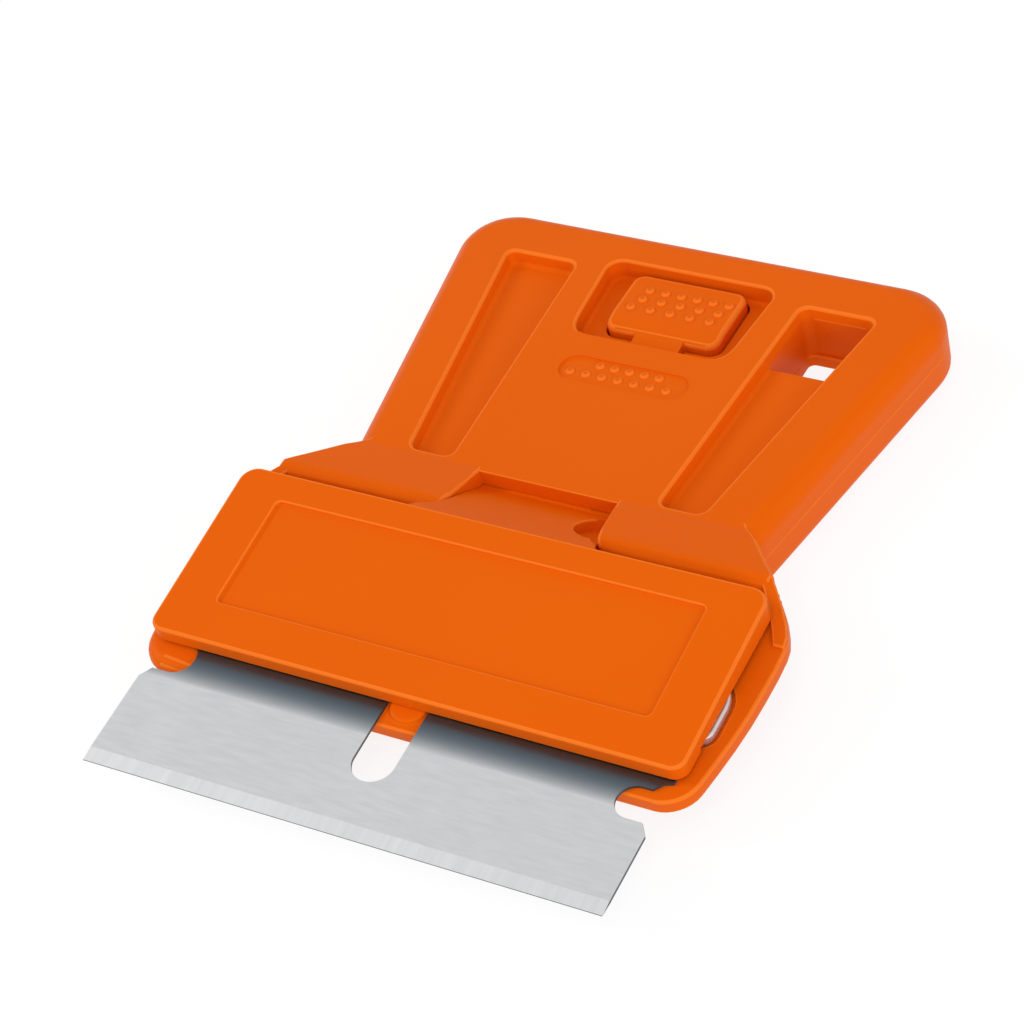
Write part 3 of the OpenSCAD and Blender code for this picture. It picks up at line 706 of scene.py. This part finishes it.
combine(upper, opening, "DIFFERENCE")
oblong = block("oblong", (-5.05, 40.75, OBLONG_FLOOR), (5.05, 43.25, 7))
round_edges(oblong, upright, 1.2, 10)
combine(upper, oblong, "DIFFERENCE")
bearing = barrel("bearing", PIVOT, BEARING_RADIUS, BEARING_LENGTH, BARREL_STEPS, True)
combine(upper, bearing, "DIFFERENCE")
clean(upper)


def pocket_mouth(a, b):
    return min(a.z, b.z) > 5.15 and min(a.y, b.y) > 30.7 and abs(a.x) + abs(b.x) > 10.4


def under_panel(a, b):
    return min(a.y, b.y) > 31.4 and min(a.z, b.z) > 3.9 and max(a.z, b.z) < 5.15


soften(upper, 0.2, 4, wanted=pocket_mouth)
soften(upper, 0.06, 2, wanted=under_panel)
polish(upper)
dots(upper, OBLONG_FLOOR, PANEL_DOTS)
seat(upper)
coat(upper, shell_plastic)
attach(upper, "handle")
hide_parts("upper_shell")

# Floor, lights and camera: a white floor in a bright room, with one small softbox from the left,
# one from the upper front and one low from the front right. The camera looks down from the front right.
bpy.ops.object.select_all(action="DESELECT")
bpy.ops.mesh.primitive_plane_add(size=6, location=(0, 0, -0.0001))
floor = bpy.context.object
floor.name = "floor"
white = bpy.data.materials.new("white_floor")
white.use_nodes = True
tree = white.node_tree
tree.nodes.remove(tree.nodes["Principled BSDF"])
ray = tree.nodes.new("ShaderNodeLightPath")
camera_ray = Strand(tree, ray.outputs["Is Camera Ray"])
mirror_ray = Strand(tree, ray.outputs["Is Glossy Ray"])
glass_ray = Strand(tree, ray.outputs["Is Transmission Ray"])
paint = tree.nodes.new("ShaderNodeBsdfDiffuse")
paint.inputs["Color"].default_value = (0.16, 0.16, 0.16, 1)
glow = tree.nodes.new("ShaderNodeEmission")
feed(tree, 0.65 + (camera_ray + mirror_ray + glass_ray) * 0.2, glow, "Strength")
both = tree.nodes.new("ShaderNodeAddShader")
tree.links.new(paint.outputs[0], both.inputs[0])
tree.links.new(glow.outputs[0], both.inputs[1])
tree.links.new(both.outputs[0], tree.nodes["Material Output"].inputs["Surface"])
floor.data.materials.append(white)

world = bpy.data.worlds.new("studio")
bpy.context.scene.world = world
world.use_nodes = True
tree = world.node_tree
back = tree.nodes["Background"]
ray = tree.nodes.new("ShaderNodeLightPath")
seen = Strand(tree, ray.outputs["Is Camera Ray"]) + Strand(tree, ray.outputs["Is Transmission Ray"])
feed(tree, 0.71 + seen * 0.29, back, "Strength")
back.inputs["Color"].default_value = (1, 1, 1, 1)


def softbox(name, place, wide, watts):
    bpy.ops.object.light_add(type="AREA", location=place)
    lamp = bpy.context.object
    lamp.name = name
    lamp.data.size = wide
    lamp.data.energy = watts
    lamp.rotation_euler = (-Vector(place)).to_track_quat("-Z", "Y").to_euler()


softbox("key", (-0.56, -0.14, 0.42), 0.22, 1.1)
softbox("top", (0.2, -0.42, 0.62), 0.3, 1.1)
softbox("fill", (0.57, -0.36, 0.2), 0.3, 1.4)

bpy.ops.object.camera_add(location=(0.09849, -0.12543, 0.15162))
camera = bpy.context.object
camera.name = "camera"
right = Vector((0.8635, 0.4669, -0.1909))
down = Vector((0.206, -0.6718, -0.7115))
ahead = Vector((-0.4604, 0.575, -0.6763))
camera.rotation_euler = Matrix((right, -down, -ahead)).transposed().to_euler()
camera.data.lens = 112.5
camera.data.sensor_width = 36
camera.data.clip_start = 0.01
bpy.context.scene.camera = camera
bpy.context.scene.view_settings.view_transform = "Standard"
